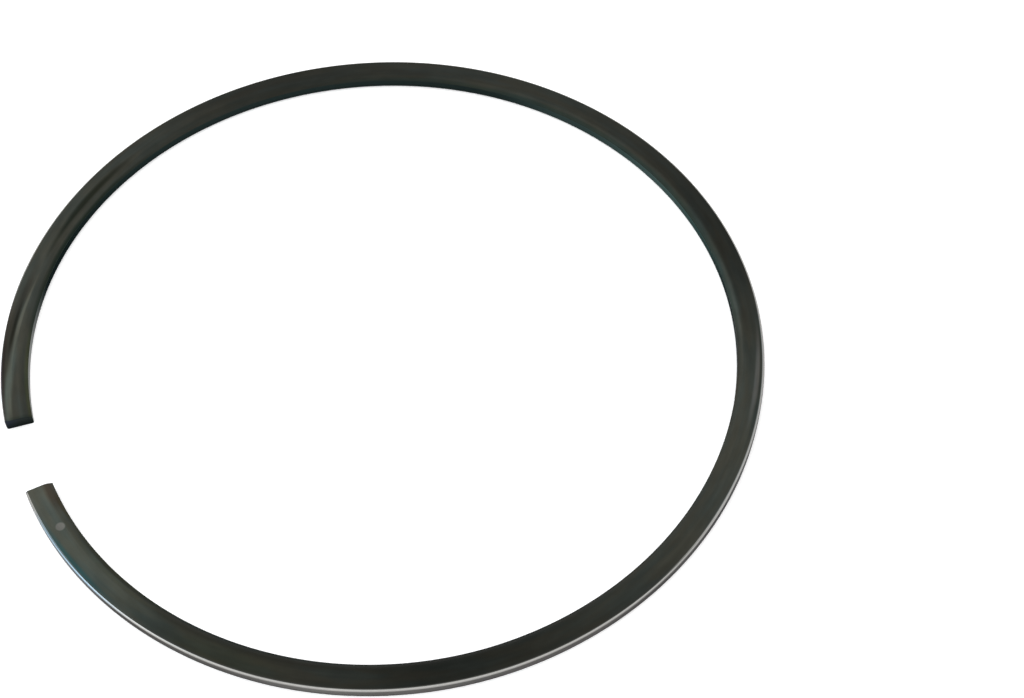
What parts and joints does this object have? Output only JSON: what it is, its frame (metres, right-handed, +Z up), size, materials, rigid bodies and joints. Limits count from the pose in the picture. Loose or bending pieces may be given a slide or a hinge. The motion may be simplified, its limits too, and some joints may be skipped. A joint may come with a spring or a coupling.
{
  "type": "piston ring",
  "caption": "Split compression ring lying free, with a barrel-shaped running face, an inside bevel and square-cut ends; it seals a piston against its cylinder bore.",
  "frame": {"origin": "middle of the free ring's box, on its bottom side face", "axes": "+Z up along the cylinder's axis towards the top side, -X towards the gap, +X towards the back of the ring"},
  "size_m": [0.088, 0.0894, 0.0015],
  "materials": {
    "ring_steel": "dark satin nitrided side faces, bright lapped running face"
  },
  "bodies": {
    "root": {"piston_ring": "ring_steel"}
  },
  "joints": []
}
